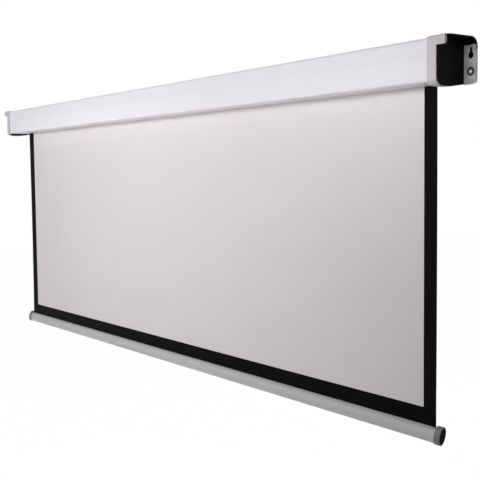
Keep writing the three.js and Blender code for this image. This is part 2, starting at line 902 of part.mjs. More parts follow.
// The hanging sheet: a white picture area inside black borders
function sheet(from, to, low, high) {
  return block([from, to], [fabricY - fabricThickness / 2, fabricY + fabricThickness / 2], [low, high]);
}

function whiteSheet() {
  const half = imageWidth / 2 - seatGap / 2;
  return sheet(-half, half, imageBottom, rollerZ);
}

function sideStrip() {
  return sheet(imageWidth / 2 + seatGap / 2, fabricHalf, imageBottom, rollerZ);
}

function bottomStrip() {
  return sheet(-fabricHalf, fabricHalf, barTop + seatGap, imageBottom - seatGap);
}

// A flat oval that leans forward, larger or smaller than the bar's, drawn about a place along its lean
function barOval(growHeight, growDepth, slide = 0, lift = 0) {
  return new THREE.Shape().absellipse(
    barY - slide * Math.sin(barLean),
    barZ - slide * Math.cos(barLean) + lift,
    barHalfDepth + growDepth,
    barHalfHeight + growHeight,
    0,
    2 * Math.PI,
    false,
    -barLean,
  );
}

function barInside(gap, from, to) {
  return alongX(barOval(-barWall - gap, -barWall - gap), from, to, plainSides);
}

// Bottom bar: an oval tube with a slot on top, a hem spline in it and a steel bar as ballast
function barTube() {
  const past = [-barHalfLength - overrun, barHalfLength + overrun];
  const slot = block(
    past,
    [fabricY - barSlotWidth / 2, fabricY + barSlotWidth / 2],
    [barTop - barSlotDepth, barTop + overrun],
  );
  return cut(
    alongX(barOval(0, 0), -barHalfLength, barHalfLength, plainSides),
    barInside(0, ...past),
    slot,
  );
}

function hemSpline() {
  const ends = [-fabricHalf + splineInset, fabricHalf - splineInset];
  const bulbZ = barTop - splineDrop;
  const neck = block(ends, [fabricY - splineNeck / 2, fabricY + splineNeck / 2], [bulbZ, barTop]);
  return join(rod(splineRadius, ...ends, fabricY, bulbZ, smallSides), neck);
}

function ballastRod() {
  const half = barHalfLength - ballastInset;
  const slide = ballastHeadroom - ballastBottomGap;
  const shape = barOval(-barWall - ballastHeadroom, -barWall - ballastSideGap, slide);
  return alongX(shape, -half, half, smallSides);
}

// The cap is a larger oval with a rounded rim; a spigot in the tube holds it
function capOval(inset) {
  return barOval(capRimHeight - inset, capRimDepth - inset, 0, capLift);
}

function plugOval(gap) {
  const across = capRimDepth - plugRimDepth;
  return barOval(capRimHeight - plugRimHeight + gap, across + gap, 0, capLift);
}

function barCap() {
  const start = barHalfLength + seatGap;
  const end = start + capLength;
  const socketFloor = end - plugDepth;
  const rounded = new THREE.ExtrudeGeometry(capOval(capEdge), {
    depth: capLength,
    curveSegments: plainSides,
    bevelThickness: capEdge,
    bevelSize: capEdge,
    bevelSegments: arcSteps,
  });
  const reach = 2 * (barHalfHeight + capRimHeight);
  const behind = block(
    [start - 2 * capEdge - overrun, start],
    [barY - reach, barY + reach],
    [barZ - reach, barZ + reach],
  );
  const stemEnd = socketFloor - plugStemLength - seatGap;
  return cut(
    join(
      cut(solid(rounded.applyMatrix4(sectionAcrossX).translate(start - capEdge, 0, 0)), behind),
      barInside(seatGap, start - capSpigotLength, start + overrun),
    ),
    alongX(plugOval(seatGap), socketFloor, end + overrun, plainSides),
    rod(plugStemRadius + seatGap, stemEnd, end, barY, barZ + capLift, smallSides),
  );
}

function barPlug() {
  const end = barHalfLength + seatGap + capLength;
  const back = end - plugDepth + seatGap;
  return join(
    alongX(plugOval(0), back, end + plugProud, plainSides),
    rod(plugStemRadius, back - plugStemLength, back + overrun, barY, barZ + capLift, smallSides),
  );
}

// Receiver box on the housing's floor, with its board, capacitor and terminals
const receiverSpan = [-receiverStart, -receiverStart + receiverLength];
const receiverDepth = [-receiverFront, -receiverFront + receiverWidth];
const boardTop = receiverBottom + receiverWall + seatGap + boardThickness;

function inward([low, high], inset) {
  return [low + inset, high - inset];
}

function receiverBox() {
  const top = receiverBottom + receiverHeight - receiverWall - seatGap;
  const body = cut(
    block(receiverSpan, receiverDepth, [receiverBottom, top]),
    block(
      inward(receiverSpan, receiverWall),
      inward(receiverDepth, receiverWall),
      [receiverBottom + receiverWall, top + overrun],
    ),
  );
  const entry = rod(
    leadRadius + seatGap,
    -receiverStart - overrun,
    -receiverStart + receiverWall + overrun,
    leadRunY,
    leadRunZ,
    smallSides,
  );
  return cut(body, entry);
}

function receiverLid() {
  const top = receiverBottom + receiverHeight;
  return block(receiverSpan, receiverDepth, [top - receiverWall, top]);
}

function receiverBoard() {
  return block(
    inward(receiverSpan, boardInset),
    inward(receiverDepth, boardInset),
    [boardTop - boardThickness, boardTop],
  );
}

function capacitor() {
  const start = -receiverStart + capacitorFromStart;
  const y = -receiverFront + receiverWidth / 2;
  const z = boardTop + seatGap + capacitorRadius;
  return rod(capacitorRadius, start, start + capacitorLength, y, z, smallSides);
}

function terminalBlock() {
  const start = -receiverStart + 2 * (boardInset + leadRadius);
  const y0 = leadRunY - terminalWidth / 2;
  const z0 = boardTop + seatGap;
  const top = z0 + terminalHeight;
  const pitch = terminalLength / terminalWayCount;
  const ways = Array.from({ length: terminalWayCount }, (_, i) => alongZ(
    circle(start + (i + 1 / 2) * pitch, leadRunY, terminalWayRadius),
    top - terminalWayDepth,
    top + overrun,
    arcSteps,
  ));
  return cut(block([start, start + terminalLength], [y0, y0 + terminalWidth], [z0, top]), ...ways);
}

// The lead from the motor head, down beside the limit screws and along the floor to the receiver
function motorLead() {
  const flatZ = rollerZ - motorHeadFlat;
  const aside = leadRunY - leadSwing;
  const route = new THREE.CatmullRomCurve3([
    new THREE.Vector3(-leadStartX, leadRunY, flatZ + leadPlugDepth),
    new THREE.Vector3(-leadStartX, leadRunY, flatZ),
    new THREE.Vector3(-leadStartX, leadRunY, flatZ - leadPlugDepth),
    new THREE.Vector3(-leadStartX + leadBend / 2, aside, flatZ - leadDrop),
    new THREE.Vector3(-leadStartX + 2 * leadBend, aside, leadRunZ),
    new THREE.Vector3(-receiverStart - 2 * leadBend, leadRunY, leadRunZ),
    new THREE.Vector3(-receiverStart - leadBend, leadRunY, leadRunZ),
    new THREE.Vector3(-receiverStart, leadRunY, leadRunZ),
    new THREE.Vector3(-receiverStart + leadPlugDepth, leadRunY, leadRunZ),
  ]);
  const section = circle(0, 0, leadRadius);
  return solid(new THREE.ExtrudeGeometry(section, {
    steps: 2 * roundSteps,
    curveSegments: 2 * arcSteps,
    extrudePath: route,
  }));
}

function cordGland() {
  const seat = plateOuter + seatGap;
  const inner = seat - glandLength;
  const face = seat + glandFlangeThickness;
  return turned([
    [inner, glandBore],
    [inner, glandRadius],
    [seat, glandRadius],
    [seat, glandFlangeRadius],
    [face - glandFlangeThickness / 2, glandFlangeRadius],
    [face, glandFlangeRadius - glandFlangeThickness / 2],
    [face, glandBore],
    [inner, glandBore],
  ], -glandFromWall, -glandDrop);
}

// The assembly
const screen = new THREE.Group();

function add(name, body, finish) {
  const mesh = new THREE.Mesh(surface(body), new THREE.MeshStandardMaterial(finishes[finish]));
  mesh.material.flatShading = true;
  mesh.name = name;
  screen.add(mesh);
}

function addPair(name, body, finish) {
  add(`${name}_right`, body, finish);
  add(`${name}_left`, mirrored(body), finish);
}

add('housing', housing(), 'whitePaint');
addPair('end_trim', endTrim(), 'whitePlastic');
add('end_plate_right', endPlate(), 'blackPlastic');
add('end_plate_left', mirrored(cut(endPlate(), glandHole())), 'blackPlastic');
portPlaces.forEach(([y, z], i) => addPair(`end_screw_${i + 1}`, endScrew(y, z), 'blackPlastic'));
addPair('hanger', hanger(), 'zincSteel');
addPair('level_bush', levelBush(), 'blackPlastic');
addPair('level_screw', levelScrew(), 'brightSteel');
add('cord_gland', mirrored(cordGland()), 'blackPlastic');

add('roller_tube', rollerTube(), 'aluminium');
add('fabric_winding', fabricWinding(), 'whiteFabric');
add('limit_crown', limitCrown(), 'blackPlastic');
add('output_shaft', outputShaft(), 'brightSteel');
add('drive_wheel', driveWheel(), 'blackPlastic');
add('idler_plug', idlerPlug(), 'blackPlastic');
add('idler_bearing', idlerBearing(), 'brightSteel');
add('idler_pin', idlerPin(), 'brightSteel');
add('idler_bracket', idlerBracket(), 'zincSteel');

add('motor_body', motorBody(), 'brightSteel');
add('motor_head', motorHead(), 'blackPlastic');
add('motor_bracket', motorBracket(), 'zincSteel');
add('limit_screw_up', limitScrew(limitScrewPlaces[0]), 'whitePlastic');
add('limit_screw_down', limitScrew(limitScrewPlaces[1]), 'whitePlastic');
add('motor_lead', motorLead(), 'blackPlastic');

add('receiver_box', receiverBox(), 'blackPlastic');
add('receiver_lid', receiverLid(), 'blackPlastic');
add('receiver_board', receiverBoard(), 'greenBoard');
add('capacitor', capacitor(), 'aluminium');
add('terminal_block', terminalBlock(), 'whitePlastic');

add('screen_fabric', whiteSheet(), 'whiteFabric');
addPair('border', sideStrip(), 'blackFabric');
add('border_bottom', bottomStrip(), 'blackFabric');

add('bar_tube', barTube(), 'aluminium');
add('hem_spline', hemSpline(), 'whitePlastic');
add('ballast_rod', ballastRod(), 'brightSteel');
addPair('bar_cap', barCap(), 'greyPlastic');
addPair('bar_plug', barPlug(), 'blackPlastic');

export default screen;
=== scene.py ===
"""Looks of a wall-hung motorized projection screen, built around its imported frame.

Metres. X runs along the screen, Y points into the wall, Z points up.
"""
import json
import math

import bmesh
import bpy
import numpy as np
from mathutils import Matrix, Vector


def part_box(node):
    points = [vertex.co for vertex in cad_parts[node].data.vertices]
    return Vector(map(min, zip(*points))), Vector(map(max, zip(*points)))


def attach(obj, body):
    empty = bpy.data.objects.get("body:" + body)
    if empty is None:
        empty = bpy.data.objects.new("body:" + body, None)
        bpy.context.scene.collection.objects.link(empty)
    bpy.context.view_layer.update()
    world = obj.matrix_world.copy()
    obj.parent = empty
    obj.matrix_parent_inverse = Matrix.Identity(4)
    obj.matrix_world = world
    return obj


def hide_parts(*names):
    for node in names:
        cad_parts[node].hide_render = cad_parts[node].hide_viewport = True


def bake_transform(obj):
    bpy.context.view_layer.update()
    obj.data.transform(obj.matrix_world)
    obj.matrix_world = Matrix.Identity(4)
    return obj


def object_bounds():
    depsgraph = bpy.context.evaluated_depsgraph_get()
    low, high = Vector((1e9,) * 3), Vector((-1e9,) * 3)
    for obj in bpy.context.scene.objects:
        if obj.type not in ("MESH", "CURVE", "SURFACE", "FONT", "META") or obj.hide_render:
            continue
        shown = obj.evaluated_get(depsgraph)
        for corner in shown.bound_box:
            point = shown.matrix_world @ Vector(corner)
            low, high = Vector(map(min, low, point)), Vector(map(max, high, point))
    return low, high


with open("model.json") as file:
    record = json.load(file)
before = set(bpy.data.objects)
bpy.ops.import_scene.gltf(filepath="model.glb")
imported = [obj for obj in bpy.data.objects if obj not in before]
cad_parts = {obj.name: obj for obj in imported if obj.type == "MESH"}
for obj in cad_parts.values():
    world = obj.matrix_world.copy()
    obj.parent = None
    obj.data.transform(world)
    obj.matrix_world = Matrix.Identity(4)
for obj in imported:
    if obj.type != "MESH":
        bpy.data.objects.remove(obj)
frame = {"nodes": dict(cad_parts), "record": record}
cad_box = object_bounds()

MM = 0.001

# Meshes: points nearer than these count as one; angles in degrees
DOUBLE_REACH = 0.001 * MM
FRAME_DOUBLE_REACH = 0.002 * MM
SHARP_ANGLE = 35.0
FLAT_ANGLE = 0.6
BEVEL_ANGLE = 32.0

# Camera, fitted to the photograph's edges; the focal length and the frame are in pixels
CAMERA_PLACE = Vector((2.1228, -1.2961, -0.2069))
CAMERA_YAW = math.radians(54.54)
CAMERA_PITCH = math.radians(-3.91)
CAMERA_ROLL = math.radians(0.65)
FOCAL_PIXELS = 906.16
FRAME_PIXELS = 480
SENSOR = 36.0
VIEW_END = 100.0

# Studio: metres, and strengths of which 1 is white
FLOOR_DROP = 0.62
FLOOR_SIZE = 24.0
FLOOR_COLOUR = (0.85, 0.85, 0.85)
FLOOR_GLOW_SHARE = 0.99
AMBIENT_LOW = 0.02
AMBIENT_HIGH = 0.12
AMBIENT_FROM = Vector((-0.5, -0.85, -0.05)).normalized()
AMBIENT_START = -0.2

# Softboxes: place, point aimed at, width and height, spread in degrees, power in watts
LAMPS = {
    "left_box": ((-1.95, -1.15, -0.05), (-1.6, 0.0, -0.1), (1.5, 0.4), 180.0, 6.5),
    "middle_box": ((0.05, -1.15, 0.0), (0.05, 0.0, -0.05), (1.7, 0.4), 180.0, 10.9),
    "right_box": ((1.05, -0.9, 0.12), (0.97, 0.0, 0.06), (0.7, 0.2), 60.0, 0.26),
    "side_box": ((2.8, -0.5, -0.4), (1.0, 0.0, 0.0), (0.6, 0.6), 40.0, 0.35),
    "floor_box": ((-0.6, -1.6, 1.6), (-0.6, -1.6, -1.0), (2.2, 0.6), 60.0, 17.0),
    "top_box": ((0.0, 0.4, 1.5), (0.0, -0.04, 0.0), (2.2, 0.4), 70.0, 3.5),
    "back_box": ((-0.3, 2.6, 0.6), (-0.3, 0.0, -0.2), (2.4, 1.0), 180.0, 40.0),
}

# Places taken from the frame
FABRIC_LOW, FABRIC_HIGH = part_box("screen_fabric")
BORDER_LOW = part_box("border_bottom")[0]
RIGHT_LOW, RIGHT_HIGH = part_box("border_right")
TUBE_LOW, TUBE_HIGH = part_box("bar_tube")
CAP_LOW, CAP_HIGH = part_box("bar_cap_right")
PLUG_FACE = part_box("bar_plug_right")[1][0]
BUSH_LOW, BUSH_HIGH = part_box("level_bush_right")
HEAD_LOW, HEAD_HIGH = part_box("level_screw_right")
FABRIC_Y = (FABRIC_LOW[1] + FABRIC_HIGH[1]) / 2
FABRIC_HALF = RIGHT_HIGH[0]
IMAGE_HALF = (FABRIC_HIGH[0] + RIGHT_LOW[0]) / 2
IMAGE_BOTTOM = FABRIC_LOW[2]
HANGER_LOW, HANGER_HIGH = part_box("hanger_right")
TRIM_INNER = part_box("end_trim_right")[0][0]
HOUSING_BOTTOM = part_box("housing")[0][2]

# Places on the solids that no box gives: the hood's lower edge, the two lines on the housing's
# front, and the keyhole's distance from the levelling screw
SKIRT_LOW = 18.3 * MM
STRIP_EDGES = (14.0 * MM, 6.2 * MM)
# Width of the painted shade along the two lines
EDGE_SHADE_REACH = 0.8 * MM
KEYHOLE_OFFSET = 0.9 * MM

# Crescent in an end trim's foot, and the panel with its tongue in a hanger's tray, which is painted
# shade
FACE_REACH = 0.01 * MM
FOOT_MARGIN = 0.6 * MM
FOOT_INSET = 0.5 * MM
FOOT_TOP_GAP = 0.05 * MM
FOOT_THICKNESS = 0.58 * MM
FOOT_GAP = 0.02 * MM
PANEL_INSET = 1.8 * MM
PANEL_RISE = 4.5 * MM
PANEL_DEPTHS = (-0.8 * MM, -0.1 * MM)
PANEL_ROUND = 0.2 * MM
PANEL_GAP = 0.02 * MM
TONGUE_HALF = 3.95 * MM
TONGUE_OVERLAP = 1.0 * MM
TONGUE_RISE = 5.65 * MM

# Bottom bar: a flat oval that leans forward, and the cap's larger oval a little above it
BAR_HALF_HEIGHT = 14.4 * MM
BAR_HALF_DEPTH = 6.9 * MM
BAR_WALL = 1.5 * MM
BAR_SLOT_HALF = 1.5 * MM
BAR_LEAN = math.radians(17.4)
CAP_RIM = (3.5 * MM, 1.5 * MM)
PLUG_RIM = (2.5 * MM, 1.3 * MM)
CAP_GAP = 0.3 * MM
CAP_BACK_ROUND = 0.3 * MM
CAP_FACE_ROUND = 1.0 * MM
PLUG_ROUND = 0.25 * MM
BAR_EDGE = 0.35 * MM
BAR_STEPS = 160
OVAL_STEPS = 120
LIP_SEARCH_STEPS = 4001
CAP_CENTRE = ((CAP_LOW[1] + CAP_HIGH[1]) / 2, (CAP_LOW[2] + CAP_HIGH[2]) / 2)
BAR_RISE = math.hypot(BAR_HALF_HEIGHT * math.cos(BAR_LEAN), BAR_HALF_DEPTH * math.sin(BAR_LEAN))
BAR_CENTRE = (CAP_CENTRE[0], TUBE_LOW[2] + BAR_RISE)

# Levelling screw and its bush: radii, and depths from the bush's face; the recess is a cross
# with a half length, a width and a depth
HEAD_X = (HEAD_LOW[0] + HEAD_HIGH[0]) / 2
HEAD_RADIUS = (HEAD_HIGH[2] - HEAD_LOW[2]) / 2
TURN_STEPS = 96
SCREW_LIFT = 0.3 * MM
SCREW_SHANK = 2.5 * MM
SCREW_RECESS = (2.5 * MM, 1.1 * MM, 1.4 * MM)
RECESS_FALL = 0.2
RECESS_RINGS = (1.1, 1.15)
BORE_CLEARANCE = 0.3 * MM
BUSH_BODY = 4.5 * MM
FLANGE_THICKNESS = 2.0 * MM
FLANGE_ROUND = 1.0 * MM
DISH_DEPTH = 0.8 * MM
DISH_LIP = 0.3 * MM
DISH_INNER = HEAD_RADIUS + 0.4 * MM
DISH_OUTER = HEAD_RADIUS + 0.9 * MM

# Sheet: its waves in radians a metre, the broad ones with their phases; the blend is between
# the heights where the sheet follows the housing alone and the bar alone
STRIP_THICKNESS = 0.6 * MM
STRIP_ROUND = 0.2 * MM
SHEET_COLUMNS = 300
SHEET_ROWS = 120
SHEET_WAVE = 0.35 * MM
BROAD_X = (9.1, 0.6)
BROAD_Z = (4.3, 0.4)
SLANT = (21.0, 3.0)
SLANT_SHARE = 0.6
BELLY_POWER = 0.7
EDGE_CURL = 1.1 * MM
CURL_WIDTH = 60 * MM
LEFT_BORDER_EXTRA = 10.0 * MM


def linked(name, mesh, body, replaced=()):
    """Puts a finished mesh into the scene as a piece that rides on a body, if one is named."""
    piece = bpy.data.objects.new(name, mesh)
    bpy.context.scene.collection.objects.link(piece)
    if body:
        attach(piece, body)
    if replaced:
        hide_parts(*replaced)
    return piece


def grid_mesh(name, points, wrap_v=False, closed_ends=False):
    """A mesh from points[u, v, xyz]: one quad between neighbours.

    wrap_v joins the last column to the first; closed_ends gives the first and
    last row a face of their own.
    """
    rows, columns = points.shape[:2]
    ids = np.arange(rows * columns).reshape(rows, columns)
    ends = [ids[0].tolist(), ids[-1].tolist()] if closed_ends else []
    if wrap_v:
        ids = np.hstack([ids, ids[:, :1]])
    quads = np.stack([ids[:-1, :-1], ids[1:, :-1], ids[1:, 1:], ids[:-1, 1:]], axis=-1)
    mesh = bpy.data.meshes.new(name)
    mesh.from_pydata(points.reshape(-1, 3).tolist(), [], quads.reshape(-1, 4).tolist() + ends)
    return mesh


def tidy_mesh(mesh):
    """Merges doubled points, turns the faces outwards and marks edges past an angle as sharp."""
    bm = bmesh.new()
    bm.from_mesh(mesh)
    bmesh.ops.remove_doubles(bm, verts=bm.verts, dist=DOUBLE_REACH)
    bmesh.ops.dissolve_degenerate(bm, edges=bm.edges, dist=DOUBLE_REACH)
    bmesh.ops.recalc_face_normals(bm, faces=bm.faces)
    limit = math.radians(SHARP_ANGLE)
    for face in bm.faces:
        face.smooth = True
    for edge in bm.edges:
        edge.smooth = len(edge.link_faces) == 2 and edge.calc_face_angle() < limit
    bm.to_mesh(mesh)
    bm.free()
    return mesh


def bevelled(piece, width, segments):
    """Rounds a piece's sharp edges and keeps its flat faces evenly lit."""
    bevel = piece.modifiers.new("edge_round", "BEVEL")
    bevel.width = width
    bevel.segments = segments
    bevel.limit_method = "ANGLE"
    bevel.angle_limit = math.radians(BEVEL_ANGLE)
    bevel.use_clamp_overlap = True
    bevel.harden_normals = False
    normals = piece.modifiers.new("even_normals", "WEIGHTED_NORMAL")
    normals.keep_sharp = True
    return piece


def dressed(node, body, width, segments):
    """A copy of a rigid solid with merged corners and softly rounded edges, in its place."""
    source = frame["nodes"][node]
    mesh = source.data.copy()
    bm = bmesh.new()
    bm.from_mesh(mesh)
    bmesh.ops.remove_doubles(bm, verts=bm.verts, dist=FRAME_DOUBLE_REACH)
    flat = math.radians(FLAT_ANGLE)
    bmesh.ops.dissolve_limit(bm, angle_limit=flat, verts=bm.verts, edges=bm.edges)
    for face in bm.faces:
        face.smooth = True
    bm.to_mesh(mesh)
    bm.free()
    mesh.materials.clear()
    piece = linked(f"{node}_skin", mesh, body, replaced=[node])
    return bevelled(piece, width, segments)


# Materials

NOISE_ROUGHNESS = 0.55
PATTERN_REACH = (0.25, 0.75)
TINT_STOPS = (0.3, 0.7)
# A band wave of scale 1 repeats at this many metres
WAVE_PERIOD = 2 * math.pi / 20
THREAD_DISTORTION = 0.4


def new_material(name, colour, roughness, metallic=0.0):
    """A principled material with its colour and roughness set, and its tree."""
    material = bpy.data.materials.new(name)
    material.use_nodes = True
    material.diffuse_color = (*colour, 1.0)
    shader = material.node_tree.nodes["Principled BSDF"]
    shader.inputs["Base Color"].default_value = (*colour, 1.0)
    shader.inputs["Roughness"].default_value = roughness
    shader.inputs["Metallic"].default_value = metallic
    return material, material.node_tree, shader


def add_node(tree, kind, links=(), **settings):
    """Adds a node; settings are its properties or its inputs' values."""
    node = tree.nodes.new(kind)
    for key, value in settings.items():
        if hasattr(node, key):
            setattr(node, key, value)
        else:
            node.inputs[key.replace("_", " ").title()].default_value = value
    for source, target in links:
        tree.links.new(source, node.inputs[target])
    return node


def place_on_piece(tree, scale=(1.0, 1.0, 1.0)):
    """Object coordinates, stretched along each axis."""
    coordinates = add_node(tree, "ShaderNodeTexCoord")
    mapping = add_node(tree, "ShaderNodeMapping", [(coordinates.outputs["Object"], "Vector")])
    mapping.inputs["Scale"].default_value = scale
    return mapping.outputs["Vector"]


def noise(tree, vector, scale, detail):
    """A noise pattern from 0 to 1, with scale features a metre and detail octaves."""
    return add_node(
        tree, "ShaderNodeTexNoise", [(vector, "Vector")],
        scale=scale, detail=detail, roughness=NOISE_ROUGHNESS,
    ).outputs["Fac"]


def spread(tree, value, low, high):
    """Maps the pattern's usual reach onto a range."""
    node = add_node(tree, "ShaderNodeMapRange", [(value, "Value")])
    node.inputs["From Min"].default_value = PATTERN_REACH[0]
    node.inputs["From Max"].default_value = PATTERN_REACH[1]
    node.inputs["To Min"].default_value = low
    node.inputs["To Max"].default_value = high
    return node.outputs["Result"]


def tint(tree, shader, value, dark, light):
    """Varies the base colour between two shades with a pattern."""
    ramp = add_node(tree, "ShaderNodeValToRGB", [(value, "Fac")])
    for stop, place, colour in zip(ramp.color_ramp.elements, TINT_STOPS, (dark, light)):
        stop.position = place
        stop.color = (*colour, 1.0)
    tree.links.new(ramp.outputs["Color"], shader.inputs["Base Color"])


def relief(tree, shader, value, strength, distance):
    """A bump on the shader's normal."""
    bump = add_node(tree, "ShaderNodeBump", [(value, "Height")])
    bump.inputs["Strength"].default_value = strength
    bump.inputs["Distance"].default_value = distance
    tree.links.new(bump.outputs["Normal"], shader.inputs["Normal"])


def shade(colour, factor):
    """A colour made darker or lighter."""
    return tuple(channel * factor for channel in colour)


def painted_edge_shade(tree, shader, heights, reach, darkest):
    """Paints shade into the base colour softly near some heights, such as a strip's edges.

    factor = darkest + (1 - darkest) * smoothstep(distance to the nearest height / reach)
    """
    place = add_node(tree, "ShaderNodeTexCoord").outputs["Object"]
    height = add_node(tree, "ShaderNodeSeparateXYZ", [(place, "Vector")]).outputs["Z"]
    near = []
    for level in heights:
        offset = add_node(tree, "ShaderNodeMath", [(height, 0)], operation="SUBTRACT")
        offset.inputs[1].default_value = level
        near.append(add_node(
            tree, "ShaderNodeMath", [(offset.outputs["Value"], 0)], operation="ABSOLUTE",
        ).outputs["Value"])
    nearest = add_node(
        tree, "ShaderNodeMath", [(near[0], 0), (near[1], 1)], operation="MINIMUM",
    ).outputs["Value"]
    soft = add_node(
        tree, "ShaderNodeMapRange", [(nearest, "Value")], interpolation_type="SMOOTHSTEP",
    )
    soft.inputs["From Max"].default_value = reach
    soft.inputs["To Min"].default_value = darkest
    plain = shader.inputs["Base Color"].links[0].from_socket
    shaded = add_node(
        tree, "ShaderNodeVectorMath", [(plain, 0), (soft.outputs["Result"], "Scale")],
        operation="SCALE",
    )
    tree.links.new(shaded.outputs["Vector"], shader.inputs["Base Color"])


def powder_coat():
    """White powder coat on the housing: fine orange peel under a soft gloss; painted shade at the
    strip's edges.
    """
    colour = (0.76, 0.737, 0.783)
    material, tree, shader = new_material("powder_coat", colour, 0.36)
    vector = place_on_piece(tree)
    peel = noise(tree, vector, scale=900.0, detail=3.0)
    cloud = noise(tree, vector, scale=7.0, detail=3.0)
    tint(tree, shader, cloud, dark=shade(colour, 0.985), light=shade(colour, 1.01))
    # Painted shade: the coat is darker along the edges of the strip on the housing's front
    painted_edge_shade(tree, shader, STRIP_EDGES, EDGE_SHADE_REACH, darkest=0.87)
    tree.links.new(spread(tree, peel, low=0.30, high=0.42), shader.inputs["Roughness"])
    relief(tree, shader, peel, strength=0.12, distance=0.12 * MM)
    shader.inputs["Specular IOR Level"].default_value = 0.3
    shader.inputs["Coat Weight"].default_value = 0.08
    shader.inputs["Coat Roughness"].default_value = 0.16
    return material


def moulded(name, colour, roughness, grain, depth, coat=0.0, gloss=0.5):
    """A fine-grained face: spark grain at a depth, faint flow shading and a slight gloss."""
    material, tree, shader = new_material(name, colour, roughness)
    vector = place_on_piece(tree)
    fine = noise(tree, vector, scale=grain, detail=2.0)
    flow = noise(tree, place_on_piece(tree, (3.0, 9.0, 9.0)), scale=6.0, detail=3.0)
    tint(tree, shader, flow, dark=shade(colour, 0.95), light=shade(colour, 1.04))
    rough = spread(tree, fine, low=roughness - 0.05, high=roughness + 0.07)
    tree.links.new(rough, shader.inputs["Roughness"])
    relief(tree, shader, fine, strength=0.2, distance=depth)
    shader.inputs["Specular IOR Level"].default_value = gloss
    shader.inputs["Coat Weight"].default_value = coat
    shader.inputs["Coat Roughness"].default_value = 0.2
    return material


def zinc_plate():
    """Zinc-plated sheet steel: cloudy plating with faint rolling lines."""
    colour = (0.66, 0.67, 0.65)
    material, tree, shader = new_material("zinc_plate", colour, 0.42, 0.1)
    shader.inputs["Specular IOR Level"].default_value = 0.25
    clouds = noise(tree, place_on_piece(tree), scale=85.0, detail=5.0)
    rolled = noise(tree, place_on_piece(tree, (30.0, 30.0, 1.0)), scale=60.0, detail=3.0)
    tint(tree, shader, clouds, dark=shade(colour, 0.8), light=shade(colour, 1.15))
    tree.links.new(spread(tree, rolled, low=0.3, high=0.48), shader.inputs["Roughness"])
    relief(tree, shader, rolled, strength=0.15, distance=0.06 * MM)
    return material


def bright_steel():
    """Bright plated steel with a fine grain."""
    colour = (0.42, 0.42, 0.41)
    material, tree, shader = new_material("bright_steel", colour, 0.24, 1.0)
    grain = noise(tree, place_on_piece(tree), scale=1400.0, detail=2.0)
    tint(tree, shader, grain, dark=shade(colour, 0.9), light=shade(colour, 1.05))
    tree.links.new(spread(tree, grain, low=0.18, high=0.3), shader.inputs["Roughness"])
    return material


def satin_aluminium():
    """Satin anodised aluminium: lines drawn along the bar."""
    colour = (0.5, 0.49, 0.503)
    material, tree, shader = new_material("satin_aluminium", colour, 0.5, 0.08)
    shader.inputs["Specular IOR Level"].default_value = 0.3
    drawn = noise(tree, place_on_piece(tree, (1.5, 260.0, 260.0)), scale=5.0, detail=4.0)
    tint(tree, shader, drawn, dark=shade(colour, 0.95), light=shade(colour, 1.05))
    tree.links.new(spread(tree, drawn, low=0.46, high=0.6), shader.inputs["Roughness"])
    relief(tree, shader, drawn, strength=0.1, distance=0.05 * MM)
    return material


def woven(tree, pitch):
    """Two crossed sets of threads at a pitch, as a height from 0 to 1."""
    vector = place_on_piece(tree)
    sets = [
        add_node(
            tree, "ShaderNodeTexWave", [(vector, "Vector")],
            wave_type="BANDS", bands_direction=direction,
        ) for direction in ("X", "Z")
    ]
    for threads in sets:
        threads.inputs["Scale"].default_value = WAVE_PERIOD / pitch
        threads.inputs["Distortion"].default_value = THREAD_DISTORTION
    return add_node(
        tree, "ShaderNodeMath",
        [(sets[0].outputs["Fac"], 0), (sets[1].outputs["Fac"], 1)], operation="MULTIPLY",
    ).outputs["Value"]


def screen_cloth(name, colour, roughness, pitch, depth, gloss):
    """Coated projection cloth: a matt face over a fine weave, with a faint tonal drift."""
    material, tree, shader = new_material(name, colour, roughness)
    drift = noise(tree, place_on_piece(tree, (1.0, 1.0, 2.0)), scale=1.7, detail=3.0)
    tint(tree, shader, drift, dark=shade(colour, 0.985), light=shade(colour, 1.012))
    relief(tree, shader, woven(tree, pitch), strength=0.3, distance=depth)
    shader.inputs["Specular IOR Level"].default_value = gloss
    return material


def seen_ray(tree):
    """1 for a ray that looks at the surround, straight or in a reflection, and 0 for light."""
    path = add_node(tree, "ShaderNodeLightPath")
    value = path.outputs["Is Camera Ray"]
    for kind in ("Is Glossy Ray", "Is Transmission Ray"):
        links = [(value, 0), (path.outputs[kind], 1)]
        value = add_node(tree, "ShaderNodeMath", links, operation="MAXIMUM").outputs["Value"]
    return value


def studio_floor():
    """A pale floor that shows as white.

    A seen ray gets FLOOR_GLOW_SHARE of glow and only the rest of the floor's own
    shading, so the object's shadow is too faint to see.
    """
    material, tree, shader = new_material("studio_floor", FLOOR_COLOUR, 0.9)
    glow = add_node(tree, "ShaderNodeEmission")
    glow.inputs["Strength"].default_value = 1.0
    share = add_node(tree, "ShaderNodeMath", [(seen_ray(tree), 0)], operation="MULTIPLY")
    share.inputs[1].default_value = FLOOR_GLOW_SHARE
    mix = add_node(tree, "ShaderNodeMixShader", [
        (share.outputs["Value"], 0),
        (shader.outputs["BSDF"], 1),
        (glow.outputs["Emission"], 2),
    ])
    tree.links.new(mix.outputs["Shader"], tree.nodes["Material Output"].inputs["Surface"])
    return material


